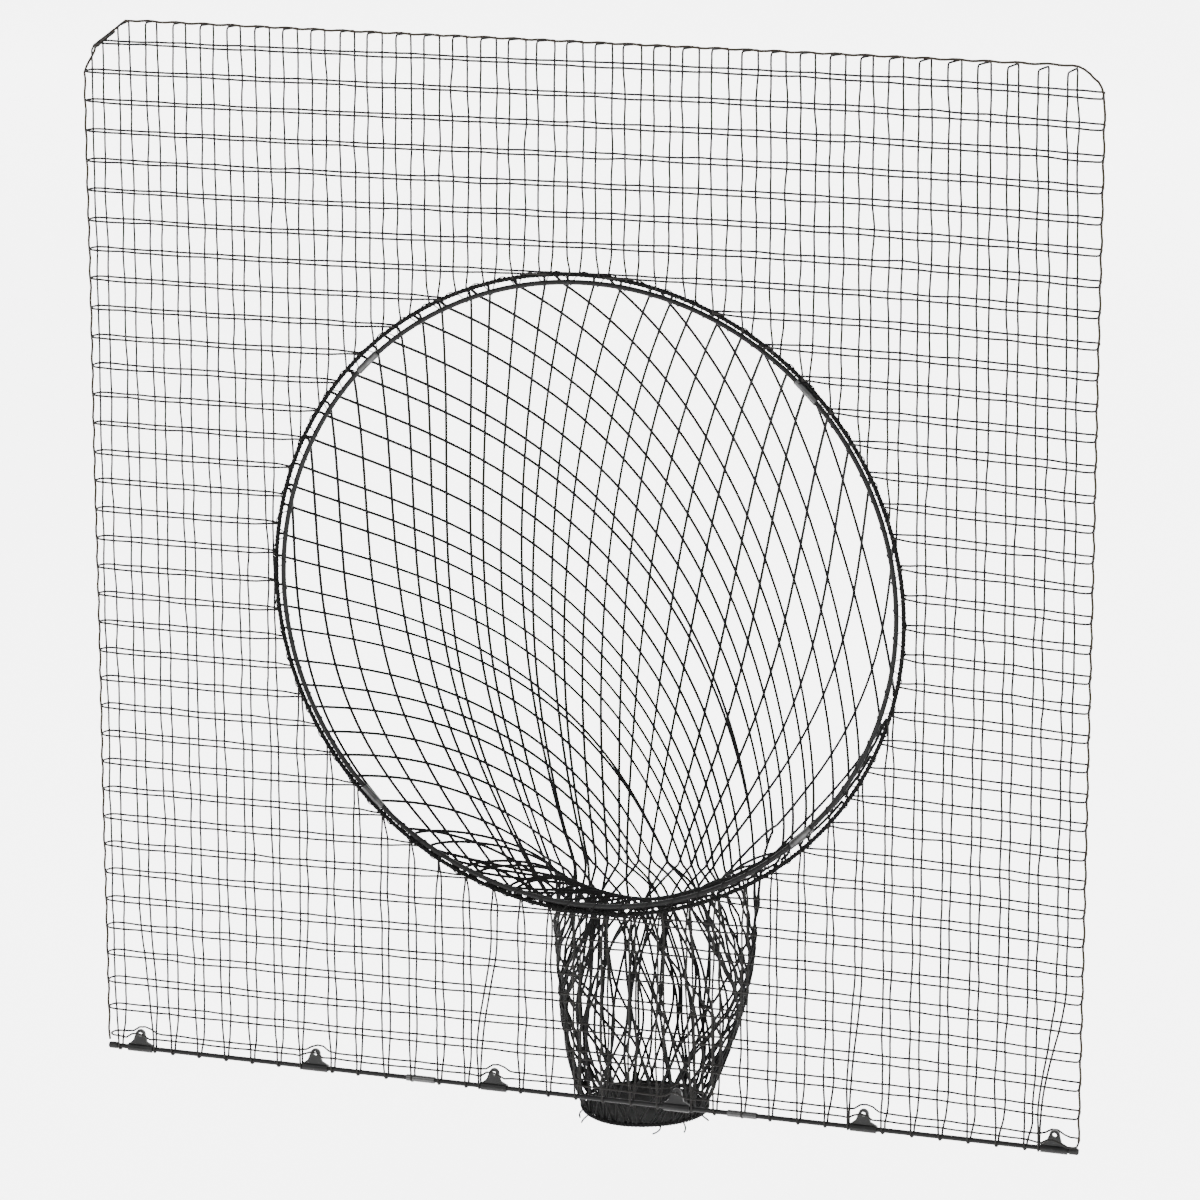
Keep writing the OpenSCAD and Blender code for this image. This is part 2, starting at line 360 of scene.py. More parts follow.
# Small blobs at the given places: an eight-point lump (two poles and two bands of
# four, turned against each other), stretched by the given half sizes.
def knots(name, places, sizes, material):
    turn = np.arange(5) * 2 * math.pi / 5
    low = np.stack([np.cos(turn) * 0.9, np.sin(turn) * 0.9, np.full(5, -0.45)], -1)
    high = np.stack([np.cos(turn + 0.63) * 0.9, np.sin(turn + 0.63) * 0.9, np.full(5, 0.45)], -1)
    lump = np.concatenate([[[0, 0, -1.0]], low, high, [[0, 0, 1.0]]])
    faces = []
    for k in range(5):
        m = (k + 1) % 5
        faces += [[0, 1 + m, 1 + k], [1 + k, 1 + m, 6 + k], [1 + m, 6 + m, 6 + k], [6 + k, 6 + m, 11]]
    faces = np.array(faces)
    spin = dice.uniform(0, 2 * math.pi, len(places))
    c, s = np.cos(spin)[:, None], np.sin(spin)[:, None]
    x, y, z = lump[:, 0], lump[:, 1], lump[:, 2]
    turned = np.stack([c * x - s * z, np.broadcast_to(y, (len(places), 12)), s * x + c * z], -1)
    points = places[:, None] + turned * np.asarray(sizes, float)
    allFaces = (faces[None] + (np.arange(len(places)) * 12)[:, None, None]).reshape(-1, 3)
    corner = np.stack([turned[..., 0], turned[..., 2]], -1).reshape(-1, 2) * 0.002
    return makeObject(name, points.reshape(-1, 3), allFaces.tolist(), corner[allFaces.ravel()], material)


# the panel's netting

panel = dict(side=1.025, top=0.022, round=0.072, rodZ=-2.114, foldR=0.0179, foldX=1.003,
             columns=35, rows=36, firstX=-1.0, pitchX=0.0581, firstZ=-0.0226, pitchZ=0.05895,
             twine=0.0021, knot=0.0024, step=0.0125, gather=0.690, mouth=(0.010, -1.077),
             clips=[0.011 + (k - 2.5) * 0.386 for k in range(6)], clipRise=0.011,
             clipSide=0.0315, clipReach=0.060, clipDeep=0.0208, clipWide=0.052)
rope = dict(mean=0.646, sway=0.0045, radius=0.005)

# The rope leans against the hoop at the upper right and lower left:
# radius = mean + sway * cos(2 * (angle - 135 degrees)), angle clockwise from the top.
def ropeRadius(angle):
    return rope["mean"] + rope["sway"] * np.cos(2 * (angle - math.radians(135)))


wobble = {s: dict(x=dice.normal(0, 0.0011, (panel["columns"] + 2, panel["rows"] + 2)),
                  z=dice.normal(0, 0.0007, (panel["columns"] + 2, panel["rows"] + 2)),
                  y=dice.normal(0, 0.0015, (panel["columns"] + 2, panel["rows"] + 2)))
          for s in (-1, 1)}

def tableAt(table, i, j):
    # smooth value between knots: cosine steps along both counts
    i, j = np.clip(i, 0, table.shape[0] - 1.001), np.clip(j, 0, table.shape[1] - 1.001)
    a, b = np.floor(i).astype(int), np.floor(j).astype(int)
    u, v = smoothStep(i - a), smoothStep(j - b)
    return ((table[a, b] * (1 - u) + table[a + 1, b] * u) * (1 - v)
            + (table[a, b + 1] * (1 - u) + table[a + 1, b + 1] * u) * v)


# Place of mesh count (i, j) on one layer. x and z run evenly, the rear layer is a few
# millimetres out of step, the upper right leans left, rows droop towards the right edge,
# each knot is a little off, and each bar sags between its knots.
def netPoint(s, i, j, bar):
    i, j = np.broadcast_arrays(np.asarray(i, float), np.asarray(j, float))
    rear = (s + 1) / 2
    x = panel["firstX"] + panel["pitchX"] * i + rear * (0.008 + 0.00014 * i)
    z = panel["firstZ"] - panel["pitchZ"] * j + rear * 0.00018 * i
    right = np.clip((x + 1) / 2, 0, 1)
    high = np.clip((z + 2.1) / 2.1, 0, 1)
    x = x - 0.022 * right ** 5 * high ** 3 + 0.006 * np.sin(2.1 * z + 1.3 * s) * np.sin(math.pi * right)
    z = z - 0.013 * right ** 7 + 0.007 * np.sin(3.1 * x + 0.6) * np.sin(math.pi * high)
    w = wobble[s]
    x = x + tableAt(w["x"], i, j)
    z = z + tableAt(w["z"], i, j)
    y = s * panel["foldR"] + tableAt(w["y"], i, j) * 0.5
    if bar == "row":
        z = z - 0.0005 * np.sin(math.pi * (i % 1)) ** 2
    else:
        x = x + 0.0003 * np.sin(math.pi * (j % 1)) ** 2 * np.sign(np.sin(7.3 * i + 3.1 * j))
    # the last row rises a little over each clip's eye
    for clip in panel["clips"]:
        over = panel["clipRise"] * np.exp(-((x - clip) / 0.018) ** 4)
        z = z + over * smoothStep((panel["rodZ"] + 0.062 - z) / 0.03) * (bar == "row")
    # both layers close onto the rope round the mouth
    away = np.hypot(x - panel["mouth"][0], z - panel["mouth"][1])
    close = smoothStep((away - 0.648) / (panel["gather"] - 0.648))
    y = y * (0.3 + 0.7 * close)
    return x, y, z


# Keeps the runs of a path that lie outside the mouth rope, with each end on the rope.
def outsideMouth(path):
    dx, dz = path[:, 0] - panel["mouth"][0], path[:, 2] - panel["mouth"][1]
    gap = np.hypot(dx, dz) - ropeRadius(np.arctan2(dx, dz))
    out = gap > 0
    edges = np.flatnonzero(out[1:] != out[:-1])
    runs, begin = [], 0
    first = None
    for e in list(edges) + [None]:
        if e is None:
            part = path[begin:]
            last = None
        else:
            t = gap[e] / (gap[e] - gap[e + 1])
            last = path[e] * (1 - t) + path[e + 1] * t
            part = path[begin:e + 1]
        if out[begin] and len(part) > 1:
            ends = [None if end is None else end[None] for end in (first, last)]
            run = np.concatenate([piece for piece in (ends[0], part, ends[1]) if piece is not None])
            keep = np.concatenate([[True], np.linalg.norm(np.diff(run, axis=0), axis=1) > 0.0012])
            runs.append(run[keep])
        if e is not None:
            begin, first = e + 1, last
    return runs


def arc(a, b, count, bulge, size=None, slide=None):
    # half circle from a to b, bulging along bulge; with slide, the shift along that
    # axis happens in the middle fifth of the turn, where the edge cord hides it
    t = np.linspace(0, math.pi, count + 2)[1:-1][:, None]
    middle, half = (a + b) / 2, (a - b) / 2
    size = np.linalg.norm(half) if size is None else size
    c, s = np.cos(t), np.sin(t)
    if slide is not None:
        # squarer, so that the legs run right up to the edge cord
        c, s = np.sign(c) * np.abs(c) ** 0.4, np.abs(s) ** 0.4
    turn = middle + half * c + np.asarray(bulge) * size * s
    if slide is not None:
        turn[:, slide] = a[slide] + (b - a)[slide] * smoothStep((t[:, 0] / math.pi - 0.4) / 0.2)
    return turn


# Nothing passes the two top corners: the left one is cut by two straight lines and the
# right one is round, and whatever lies beyond is moved back onto the line.
def trimCorners(path):
    s, t, r = panel["side"] - 0.002, panel["top"] - 0.002, panel["round"]
    low, bend, high = (-s, -0.085), (-s + 0.028, -0.028), (-s + 0.092, t)
    for (x0, z0), (x1, z1) in ((low, bend), (bend, high)):
        across = np.array([-(z1 - z0), x1 - x0]) / math.hypot(x1 - x0, z1 - z0)
        beyond = np.maximum((path[:, 0] - x0) * across[0] + (path[:, 2] - z0) * across[1], 0)
        path[:, 0] -= beyond * across[0]
        path[:, 2] -= beyond * across[1]
    dx, dz = path[:, 0] - (s - r), path[:, 2] - (t - r)
    far = np.hypot(dx, dz)
    pull = np.where((dx > 0) & (dz > 0) & (far > r), r / np.maximum(far, 1e-6), 1.0)
    path[:, 0] = (s - r) + dx * pull
    path[:, 2] = (t - r) + dz * pull
    return path


# A column is one loop: down the front, under the rod, up the rear, over the top fold.
def columnPaths():
    paths = []
    count = int(2.1 / panel["step"])
    for i in range(panel["columns"]):
        # counts from the fold's spring line down to the rod's level
        lowJ = (panel["firstZ"] - panel["rodZ"]) / panel["pitchZ"]
        j = np.linspace(-0.38, lowJ + 0.02, count)
        front = np.stack(netPoint(-1, i, j, "column"), -1)
        rear = np.stack(netPoint(1, i, j, "column"), -1)[::-1]
        for part, s in ((front, -1), (rear, 1)):
            down = smoothStep((panel["rodZ"] + 0.10 - part[:, 2]) / 0.085)
            part[:, 1] = part[:, 1] * (1 - down) + s * 0.0068 * down
            part[:, 2] = np.maximum(part[:, 2], panel["rodZ"])
            up = smoothStep((part[:, 2] + 0.03) / 0.03)
            part[:, 1] = part[:, 1] * (1 - up) + s * panel["foldR"] * up
            part[:, 2] = np.minimum(part[:, 2], 0.0)
        shift = front[-1, 0] - rear[0, 0] + 0.0035
        rear[:, 0] += shift * smoothStep((panel["rodZ"] + 0.05 - rear[:, 2]) / 0.05)
        # columns part round each clip, both legs on the side where the front one ends
        for clip in panel["clips"]:
            gap = front[-1, 0] - clip
            if abs(gap) < panel["clipReach"]:
                side = 1 if gap > 0 else -1
                for part in (front, rear):
                    low = smoothStep((panel["rodZ"] + 0.34 - part[:, 2]) / 0.28)
                    away = side * (part[:, 0] - clip)
                    part[:, 0] += side * np.maximum(panel["clipSide"] - away, 0) * low
                break
        under = arc(front[-1], rear[0], 5, (0, 0, -1))
        over = arc(rear[-1], front[0], 13, (0, 0, 1), 0.0205, 0)
        loop = np.concatenate([front, under, rear, over, front[:1]])
        loop = trimCorners(loop)
        step = np.linalg.norm(np.diff(loop, axis=0), axis=1)
        loop = loop[np.concatenate([[True], step > 0.0008])]
        paths += outsideMouth(loop)
    return paths


# A row is one loop as well: along the front, round the right fold, back along the
# rear, and round the left fold.
def rowPaths():
    paths = []
    count = int(2.0 / panel["step"])
    left = -(panel["foldX"] + panel["firstX"]) / panel["pitchX"]
    right = (panel["foldX"] - panel["firstX"]) / panel["pitchX"]
    for j in range(panel["rows"]):
        i = np.linspace(left, right, count)
        front = np.stack(netPoint(-1, i, j, "row"), -1)
        rear = np.stack(netPoint(1, i - 0.13, j, "row"), -1)[::-1]
        for part, s in ((front, -1), (rear, 1)):
            ends = part[:, 0].min(), part[:, 0].max()
            for end, sign in zip(ends, (-1, 1)):
                near = smoothStep((sign * part[:, 0] - 0.80) / (sign * end - 0.80))
                part[:, 0] += (sign * panel["foldX"] - end) * near
            part[:, 0] = np.clip(part[:, 0], -panel["foldX"], panel["foldX"])
            edge = smoothStep((np.abs(part[:, 0]) - 0.955) / 0.045)
            down = 1 - 0.2 * smoothStep((panel["rodZ"] + 0.06 - part[:, 2]) / 0.04)
            part[:, 1] = (part[:, 1] * (1 - edge) + s * panel["foldR"] * edge) * down
            # the lowest row stands clear of the clips as they turn
            for clip in panel["clips"]:
                clear = panel["clipDeep"] * np.exp(-((part[:, 0] - clip) / panel["clipWide"]) ** 4)
                clear = clear * (part[:, 2] < panel["rodZ"] + 0.066)
                part[:, 1] = s * np.maximum(s * part[:, 1], clear)
            short = np.sign(part[:, 0]) * panel["foldX"] - part[:, 0]
            part[:, 0] = part[:, 0] + edge * short * (np.abs(part[:, 0]) > 0.995)
        loop = np.concatenate([front, arc(front[-1], rear[0], 13, (1, 0, 0), 0.0205, 2), rear,
                               arc(rear[-1], front[0], 7, (-1, 0, 0)), front[:1]])
        loop = trimCorners(loop)
        step = np.linalg.norm(np.diff(loop, axis=0), axis=1)
        loop = loop[np.concatenate([[True], step > 0.0008])]
        paths += outsideMouth(loop)
    return paths


columns = carry("panel_columns", columnPaths(), (1, 0, 0), panel["twine"], 6, panelTwine)
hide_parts("front_net", "rear_net", "top_fold")
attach(columns, "net")
rows = carry("panel_rows", rowPaths(), (0, 0, 1), panel["twine"], 6, panelTwine)
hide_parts("left_fold", "right_fold")
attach(rows, "net")

def panelKnots():
    i, j = np.meshgrid(np.arange(panel["columns"]), np.arange(panel["rows"] - 1), indexing="ij")
    both = []
    for s in (-1, 1):
        x, y, z = netPoint(s, i.ravel(), j.ravel(), "row")
        places = trimCorners(np.stack([x, y, z], -1))
        away = np.hypot(x - panel["mouth"][0], z - panel["mouth"][1])
        both.append(places[(away > 0.66) & (z < -0.01)])
    places = np.concatenate(both)
    k = panel["knot"]
    return knots("panel_knots", places, (k, k * 0.8, k), panelTwine)

tied = panelKnots()
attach(tied, "net")
print("panel netting made")

# mouth rope, lacing and edge cord

def ringPoint(angle, radius, y):
    return np.stack([panel["mouth"][0] + radius * np.sin(angle), y + 0 * angle,
                     panel["mouth"][1] + radius * np.cos(angle)], -1)


# Three strands wound round the rope's middle line: each is at distance 0.55 of the
# rope's radius from it, turning once every lay.
def laidRope(name, middle, outward, radius, turns, material, body):
    n = len(middle)
    tangent = np.roll(middle, -1, 0) - np.roll(middle, 1, 0)
    tangent /= np.linalg.norm(tangent, axis=1)[:, None]
    other = np.cross(tangent, outward)
    paths, refs = [], []
    for k in range(3):
        turn = (np.arange(n) / n * turns + k / 3) * 2 * math.pi
        off = np.cos(turn)[:, None] * outward + np.sin(turn)[:, None] * other
        paths.append(middle + off * radius * 0.5)
        refs.append(off)
    ob = carry(name, paths, refs, radius * 0.54, 7, material, closed=True)
    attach(ob, body)
    return ob


angle = np.arange(1100) / 1100 * 2 * math.pi
middle = ringPoint(angle, ropeRadius(angle), 0.0)
outward = np.stack([np.sin(angle), 0 * angle, np.cos(angle)], -1)
mouthRope = laidRope("mouth_rope_laid", middle, outward, rope["radius"], 150, ropeFinish,
                     "net")
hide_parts("mouth_rope")

# A thin cord spirals round the rope and the hoop together, once for each sock mesh.
lace = dict(turns=72, hoop=0.631, inside=0.0062, outside=0.0012, half=0.0064, radius=0.0011)

def lacingPath():
    turns = lace["turns"]
    a = np.arange(turns * 14) / (turns * 14) * 2 * math.pi
    spin = a * turns
    outer = ropeRadius(a) + rope["radius"] + lace["outside"]
    inner = lace["hoop"] - lace["inside"]
    mid, half = (outer + inner) / 2, (outer - inner) / 2
    path = ringPoint(a + 0.006 * np.sin(spin), mid + half * np.cos(spin), 0)
    path[:, 1] = lace["half"] * np.sin(spin)
    return path

lacing = carry("hoop_lacing", [lacingPath()], (0.31, 1, 0.17), lace["radius"], 5, laceFinish, closed=True)
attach(lacing, "net")

# The edge cord runs up the left side, along the top and down the right side, with a cut
# left corner and a round right one, and waves a little between the meshes.
def edgePath():
    s, t, low = panel["side"], panel["top"], panel["rodZ"] + 0.012
    a = np.linspace(0, math.pi / 2, 12)
    r = panel["round"]
    corner = np.stack([s - r + r * np.sin(a), t - r + r * np.cos(a)], -1)
    left = [[-s, low], [-s, -0.085], [-s + 0.028, -0.028], [-s + 0.092, t]]
    line = np.concatenate([left, corner, [[s, low]]])
    # the rows pull the two straight sides in and out a little
    length = np.concatenate([[0], np.cumsum(np.linalg.norm(np.diff(line, axis=0), axis=1))])
    at = np.arange(0, length[-1], 0.012)
    x, z = np.interp(at, length, line[:, 0]), np.interp(at, length, line[:, 1])
    x -= np.sign(x) * 0.0012 * (1 + np.sin(z * 2 * math.pi / panel["pitchZ"])) * (np.abs(x) > 1.0)
    z -= 0.0012 * (1 + np.sin(x * 2 * math.pi / panel["pitchX"])) * (z > 0)
    return np.stack([x, 0.0012 * np.sin(at * 9.0), z], -1)

edge = carry("edge_cord_braided", [edgePath()], (0, 1, 0), 0.0025, 8, edgeFinish)
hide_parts("edge_cord")
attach(edge, "net")
print("rope, lacing and edge cord made")

# the sock
sock = dict(neckX=0.078, y=0.270, neckZ=-1.734, neckR=0.214, tilt=0.060,
            hemX=0.054, hemZ=-2.218, hemR=0.131, pitch=0.0510, twine=0.0028, knot=0.0030,
            bundles=27, start=(0.078, 0.270, -1.725), end=(0.078, 0.270, -1.885))

def mouthCircle(a):
    return np.stack([panel["mouth"][0] + 0.642 * np.sin(a), 0.0075 + 0 * a,
                     panel["mouth"][1] + 0.642 * np.cos(a)], -1)

def neckCircle(a):
    return np.stack([sock["neckX"] + sock["neckR"] * np.sin(a), sock["y"] + sock["neckR"] * np.cos(a),
                     sock["neckZ"] - sock["tilt"] / 2 * np.cos(a)], -1)

# The sock's surface: angle a round it, w down it. From 0 to 1 a cubic blends the mouth
# circle into the tilted neck circle, leaving the hoop backwards, inwards and down and
# arriving straight down. From 1 to 2 the tube hangs and narrows to the hem.
def sockPoint(a, w):
    a, w = np.broadcast_arrays(np.asarray(a, float), np.asarray(w, float))
    p, q = mouthCircle(a), neckCircle(a)
    d = np.linalg.norm(q - p, axis=-1)[..., None]
    leave = (1.1 + 0.5 * np.cos(a))[..., None] * d * np.stack(
        [-0.45 * np.sin(a), 0.85 + 0 * a, -0.35 * np.cos(a) - 0.6], -1)
    arrive = 0.6 * d * np.array([0, 0, -1.0])
    v = np.clip(w, 0, 1)[..., None]
    funnel = (p * (2 * v**3 - 3 * v**2 + 1) + leave * (v**3 - 2 * v**2 + v)
              + q * (3 * v**2 - 2 * v**3) + arrive * (v**3 - v**2))
    v = np.clip(w - 1, 0, 1)
    u = np.clip((v - 0.08) / 0.92, 0, 1)
    r = sock["neckR"] + (sock["hemR"] - 0.002 - sock["neckR"]) * (0.25 * u + 0.75 * u**3)
    top, low = q[..., 2], sock["hemZ"]
    tube = np.stack([sock["neckX"] + (sock["hemX"] - sock["neckX"]) * v + r * np.sin(a),
                     sock["y"] + r * np.cos(a), top + (low - top) * v], -1)
    return np.where((w <= 1)[..., None], funnel, tube)


# Below the neck the net gathers a little: the angle is pulled towards evenly spaced fold
# lines and the surface dips between them.
def sockStrandPoint(a, w):
    a, w = np.broadcast_arrays(np.asarray(a, float), np.asarray(w, float))
    n = sock["bundles"]
    gather = smoothStep((w - 0.8) / 0.45) * (1 - 0.5 * smoothStep((w - 1.75) / 0.25))
    drift = 0.35 * np.sin(2 * a + 1.7 * w) + 0.25 * np.sin(3 * a - 2.3 * w + 1.0)
    fold = n * a + 3.0 * drift + 1.1 * np.sin(4.0 * w + 2 * a)
    b = a - gather * 0.06 * np.sin(fold) / n + 0.03 * gather * np.sin(5 * a + 9 * w)
    point = sockPoint(b, w)
    axis = np.stack([sock["neckX"] + (sock["hemX"] - sock["neckX"]) * np.clip(w - 1, 0, 1),
                     sock["y"] + 0 * w, point[..., 2]], -1)
    inward = axis - point
    inward /= np.maximum(np.linalg.norm(inward, axis=-1), 1e-6)[..., None]
    dip = gather * (0.004 * (1 - np.cos(fold)) / 2 + 0.005 * (1 + np.sin(3 * a + 5 * w)))
    return point + inward * dip[..., None]


# How the diamond net lies: projected along (-0.318, 1, -0.273) onto the XZ plane, with
# the hoop as a unit circle, each family of strands dips below the horizontal by an angle
# that is a cubic polynomial of the place (rows: powers of across; columns: powers of up).
lie = {1: [[0.734, -0.101, -0.053, -0.025], [0.909, -0.403, 0.271], [0.020, 0.186], [-0.308]],
       -1: [[1.622, 0.240, -0.026, 0.039], [0.355, -0.566, 0.922], [-0.002, -0.433], [-0.275]]}

def seenFlat(point):
    return np.stack([point[..., 0] - panel["mouth"][0] + 0.318 * point[..., 1],
                     point[..., 2] - panel["mouth"][1] + 0.273 * point[..., 1]], -1)

def dipAt(hand, flat):
    x, y = np.clip(flat[..., 0] / 0.64, -1.02, 1.02), np.clip(flat[..., 1] / 0.64, -1.02, 1.02)
    return sum(c * x**i * y**j for i, row in enumerate(lie[hand]) for j, c in enumerate(row))


# Strands start along the hoop so that they are one mesh apart measured square to
# themselves: the running sum of |strand direction x hoop direction| is cut evenly.
def strandStarts(hand):
    a = np.radians(np.arange(-178, 172, 0.25))
    ring = seenFlat(mouthCircle(a))
    along = np.gradient(ring, axis=0)
    dip = dipAt(hand, ring)
    inwardFlow = np.cos(dip) * along[:, 1] + np.sin(dip) * along[:, 0]
    flow = np.cumsum(np.maximum(inwardFlow, 0)) / sock["pitch"]
    count = int(flow[-1])
    at = np.arange(count) + 0.5 + dice.uniform(-0.16, 0.16, count)
    return np.interp(at, flow + np.arange(len(flow)) * 1e-9, a)


walk = dict(firstW=0.004, steps=330, small=1e-4, funnelStep=0.010, farthest=1.7,
            tubeStep=0.0225, mostTurn=1.6, fade=2.2, lean=0.12)

# Walks down from the hoop: each step solves for the change of (a, w) whose flat image
# runs in the strand's direction. A strand ends when it meets the hoop again, and one
# that reaches the neck runs on down the tube, turning less and less.
def walkStrands(hand, starts):
    a, w = starts.copy(), np.full(len(starts), walk["firstW"])
    allA, allW = [a.copy()], [0 * w]
    alive = np.ones(len(a), bool)
    turn = np.zeros(len(a))
    ends = np.full(len(a), 1)
    offset = dice.normal(0, 0.012, len(a))
    stray = dice.normal(0, 0.22, len(a))
    e = walk["small"]
    for k in range(walk["steps"]):
        onFunnel = alive & (w < 1)
        here = seenFlat(sockPoint(a, np.minimum(w, 0.999)))
        byA = (seenFlat(sockPoint(a + e, np.minimum(w, 0.999))) - here) / e
        byW = (seenFlat(sockPoint(a, np.minimum(w, 0.999) + e)) - here) / e
        dip = dipAt(hand, here) + offset * np.sin(3 * w)
        tx, ty = np.cos(dip), -np.sin(dip)
        det = byA[:, 0] * byW[:, 1] - byA[:, 1] * byW[:, 0]
        det = np.where(np.abs(det) < 1e-3, np.where(det < 0, -1e-3, 1e-3), det)
        da = (tx * byW[:, 1] - ty * byW[:, 0]) / det
        dw = (byA[:, 0] * ty - byA[:, 1] * tx) / det
        reach = np.linalg.norm(sockPoint(a + da * 1e-3, w + dw * 1e-3) - sockPoint(a, w), axis=-1) / 1e-3
        step = walk["funnelStep"] / np.maximum(1.0, reach / walk["farthest"])
        turn = np.where(onFunnel, da / np.maximum(np.abs(dw), 0.4), turn)
        turn = np.clip(turn, -walk["mostTurn"], walk["mostTurn"])
        lower = turn * np.exp(-walk["fade"] * (w - 1)) + walk["lean"] * hand + stray
        inTube = np.where(alive, a + walk["tubeStep"] * lower, a)
        a = np.where(onFunnel, a + da * step, inTube)
        w = np.where(onFunnel, w + dw * step, np.where(alive, w + walk["tubeStep"], w))
        allA.append(a.copy())
        allW.append(w.copy())
        ends = np.where(alive, k + 2, ends)
        alive = alive & (w > 0) & (w < 2)
    return np.stack(allA, -1), np.stack(allW, -1), ends


# The short front of the funnel: strands from the lowest part of the hoop run straight
# over into the front of the tube.
def frontStrands(hand):
    starts = np.radians(np.linspace(142, 214, 17)) + dice.normal(0, 0.02, 17)
    w = np.concatenate([np.linspace(0, 1, 22, endpoint=False), np.linspace(1, 2, 42)])
    runs = []
    for s in starts:
        turned = 0.25 * np.clip(w, 0, 1) + dice.uniform(0.2, 0.9) * np.clip(w - 1, 0, 1) ** 1.3
        runs.append((s + hand * turned, w))
    if hand == 1:
        # three long strands sweep from the lower right of the hoop across to the front
        for s, far in ((108, 1.42), (115, 1.34), (125, 1.15)):
            runs.append((math.radians(s) + far * np.clip(w, 0, 1) + 0.5 * np.clip(w - 1, 0, 1), w))
    return runs


tubeLean = {1: 0.75, -1: -0.45}

# In the tube the strands spread until they are evenly spaced at the hem, in the order
# in which they came through the neck, with a lean that grows with depth.
def spreadTube(hand, runs):
    last = np.array([a[-1] if w[-1] > 1.9 else np.nan for a, w in runs])
    down = np.nonzero(~np.isnan(last))[0]
    order = down[np.argsort(last[down] % (2 * math.pi))]
    even = (np.arange(len(order)) + 0.5) / len(order) * 2 * math.pi
    even = even + dice.normal(0, 0.05, len(order))
    apart = np.angle(np.exp(1j * (even - last[order])))
    spread = dict(zip(order.tolist(), (apart - np.angle(np.exp(1j * apart).mean())).tolist()))
    lean = tubeLean[hand]
    out = []
    for k, (a, w) in enumerate(runs):
        if k in spread:
            a = a + spread[k] * smoothStep((w - 0.95) / 0.85) + lean * np.clip(w - 1, 0, 1)
        out.append((a, w))
    return out


def sockStrands(hand):
    runs = []
    a, w, ends = walkStrands(hand, strandStarts(hand))
    for k in range(len(a)):
        n = ends[k]
        if n > 9:
            runs.append((a[k, :n], np.clip(w[k, :n], 0, 2)))
    runs = spreadTube(hand, runs + frontStrands(hand))
    paths, refs = [], []
    for a, w in runs:
        path = sockStrandPoint(a, w)
        e = 1e-3
        byA = sockPoint(a + e, w) - sockPoint(a - e, w)
        byW = sockPoint(a, np.minimum(w + e, 2)) - sockPoint(a, np.maximum(w - e, 0))
        ref = np.cross(byA, byW)
        start = ringPoint(a[:1], ropeRadius(a[:1]) - 0.002, 0.001)
        path = np.concatenate([start, path])
        ref = np.concatenate([ref[:1], ref])
        if w[-1] < 0.02:
            back = ringPoint(a[-1:], ropeRadius(a[-1:]) - 0.002, 0.001)
            path, ref = np.concatenate([path, back]), np.concatenate([ref, ref[-1:]])
        # drop points closer than a millimetre and a half, as at the short front of the funnel
        keep = np.concatenate([[True], np.linalg.norm(np.diff(path, axis=0), axis=1) > 0.0015])
        refs.append(ref[keep])
        paths.append(path[keep])
    return runs, paths, refs


sockRuns = {}
for hand, name, solid in ((1, "sock_strands_right", "sock_funnel"), (-1, "sock_strands_left", "sock_tube")):
    runs, paths, refs = sockStrands(hand)
    sockRuns[hand] = runs
    strands = carry(name, paths, refs, sock["twine"], 6, sockTwine)
    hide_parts(solid)
    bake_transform(strands)
    print(name, len(paths))

# Two strands of opposite hand cross where both their angle and their depth agree. Each
# strand is read at even depths, and the difference of angle changes sign at a crossing.
def sockKnots():
    w = np.linspace(0.02, 1.15, 300)
    table = {}
    for hand, runs in sockRuns.items():
        rows = []
        for a, depth in runs:
            rising = np.maximum.accumulate(depth)
            value = np.interp(w, rising, a)
            rows.append(np.where((w <= rising.max()), value, np.nan))
        table[hand] = np.array(rows)
    gap = (table[1][:, None] - table[-1][None] + math.pi) % (2 * math.pi) - math.pi
    cross = (gap[..., 1:] * gap[..., :-1] < 0) & (np.abs(gap[..., 1:]) < 0.4)
    k, m, n = np.nonzero(cross)
    t = gap[k, m, n] / (gap[k, m, n] - gap[k, m, n + 1])
    a = table[1][k, n] * (1 - t) + table[1][k, n + 1] * t
    places = sockStrandPoint(a, w[n] * (1 - t) + w[n + 1] * t)
    return knots("sock_knots", places, [sock["knot"]] * 3, sockTwine)

tied = sockKnots()
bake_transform(tied)
print("sock netting made")

# hem, base and tab

angle = np.arange(420) / 420 * 2 * math.pi
hemMiddle = np.stack([sock["hemX"] + 0.129 * np.sin(angle), sock["y"] + 0.129 * np.cos(angle),
                      sock["hemZ"] + 0.0012 * np.sin(3 * angle)], -1)
hemOut = np.stack([np.sin(angle), np.cos(angle), 0 * angle], -1)
hem = laidRope("hem_cord_laid", hemMiddle, hemOut, 0.005, 34, ropeFinish, "sock")
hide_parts("hem_cord")

# Loose ends of net twine stand out under the hem where it was tied off.
def hemTails():
    paths = []
    for a, length, curl in ((-2.35, 0.034, 0.5), (-2.1, 0.026, -0.6), (-1.2, 0.030, 0.9),
                            (1.75, 0.028, -0.8), (2.2, 0.032, 0.4), (2.6, 0.024, 1.1)):
        t = np.linspace(0, 1, 9)
        turn = a + curl * 0.12 * t**2
        r = 0.130 + length * (0.35 * t + 0.15 * np.sin(3 * t))
        paths.append(np.stack([sock["hemX"] + r * np.sin(turn), sock["y"] + r * np.cos(turn),
                               sock["hemZ"] - 0.002 - length * 0.55 * t], -1))
    return carry("hem_tails", paths, (0.3, 0.2, 1), 0.0018, 6, sockTwine)

tails = hemTails()
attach(tails, "sock")

base = dict(radius=0.1225, cut=0.1088, sag=0.007, half=0.0012, rings=26, spokes=120)

